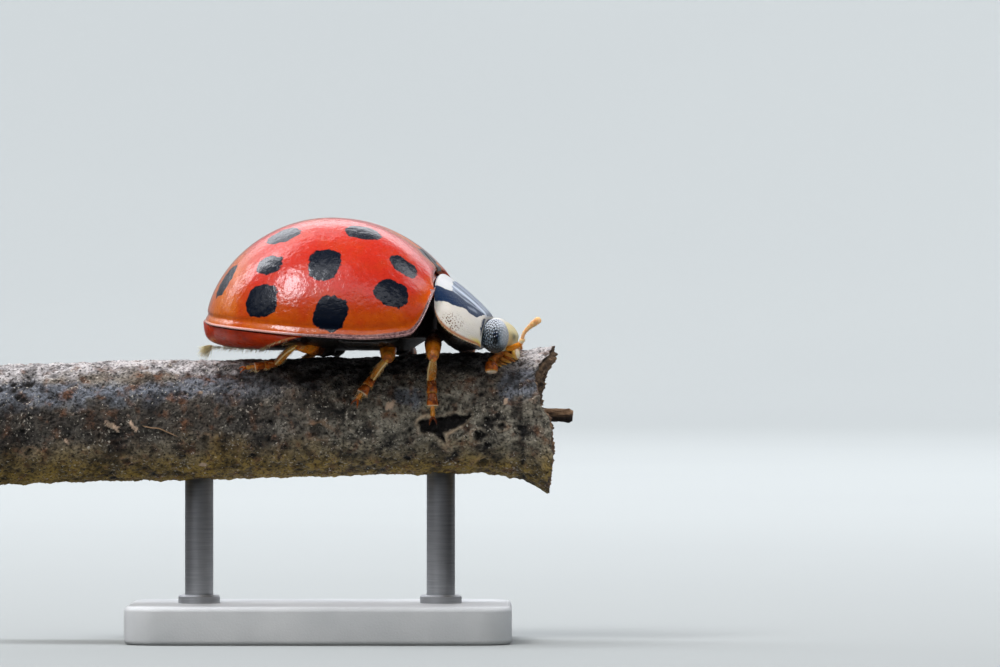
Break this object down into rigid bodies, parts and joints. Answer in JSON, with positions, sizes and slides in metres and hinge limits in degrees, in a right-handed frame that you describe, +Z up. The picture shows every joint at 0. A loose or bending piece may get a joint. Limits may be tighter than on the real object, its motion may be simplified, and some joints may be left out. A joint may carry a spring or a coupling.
{
  "type": "ladybird on a twig, life-size museum model",
  "caption": "Still, life-size harlequin ladybird with spotted orange-red wing cases, walking along a short broken twig held level on a plain stand.",
  "frame": {"origin": "middle of the stand's underside", "axes": "+Z up, +X along the twig towards its broken end, the way the beetle walks; the beetle is turned 10 degrees from +X towards -Y"},
  "size_m": [0.0141, 0.0066, 0.0101],
  "materials": {
    "wing_case": "glossy orange-red shell with black spots",
    "pronotum": "glossy cream shield with a black M",
    "black_shell": "satin black shell",
    "belly": "satin orange-brown shell with fine pale hairs",
    "head": "cream shell with fine pits",
    "eye": "glossy black, finely faceted",
    "amber": "translucent amber-brown with golden hairs",
    "feeler": "pale amber",
    "bark": "weathered grey-brown bark",
    "wood": "raw broken wood",
    "stand_plate": "satin pale grey",
    "stand_rod": "brushed"
  },
  "bodies": {
    "root": {"elytron_left": "wing_case", "elytron_right": "wing_case", "scutellum": "black_shell", "pronotum": "pronotum", "prothorax": "black_shell", "thorax": "black_shell", "abdomen": "belly", "head": "head", "eye_left": "eye", "eye_right": "eye", "mouthparts": "amber", "palp_left": "amber", "palp_right": "amber", "antenna_left": "feeler", "antenna_right": "feeler", "leg_front_left_femur": "amber", "leg_front_left_tibia": "amber", "leg_front_left_tarsus": "amber", "leg_front_right_femur": "amber", "leg_front_right_tibia": "amber", "leg_front_right_tarsus": "amber", "leg_middle_left_femur": "amber", "leg_middle_left_tibia": "amber", "leg_middle_left_tarsus": "amber", "leg_middle_right_femur": "amber", "leg_middle_right_tibia": "amber", "leg_middle_right_tarsus": "amber", "leg_hind_left_femur": "amber", "leg_hind_left_tibia": "amber", "leg_hind_left_tarsus": "amber", "leg_hind_right_femur": "amber", "leg_hind_right_tibia": "amber", "leg_hind_right_tarsus": "amber", "perch_twig": "bark", "perch_spur": "wood", "stand_base": "stand_plate", "stand_rod_rear": "stand_rod", "stand_rod_front": "stand_rod"}
  },
  "joints": []
}
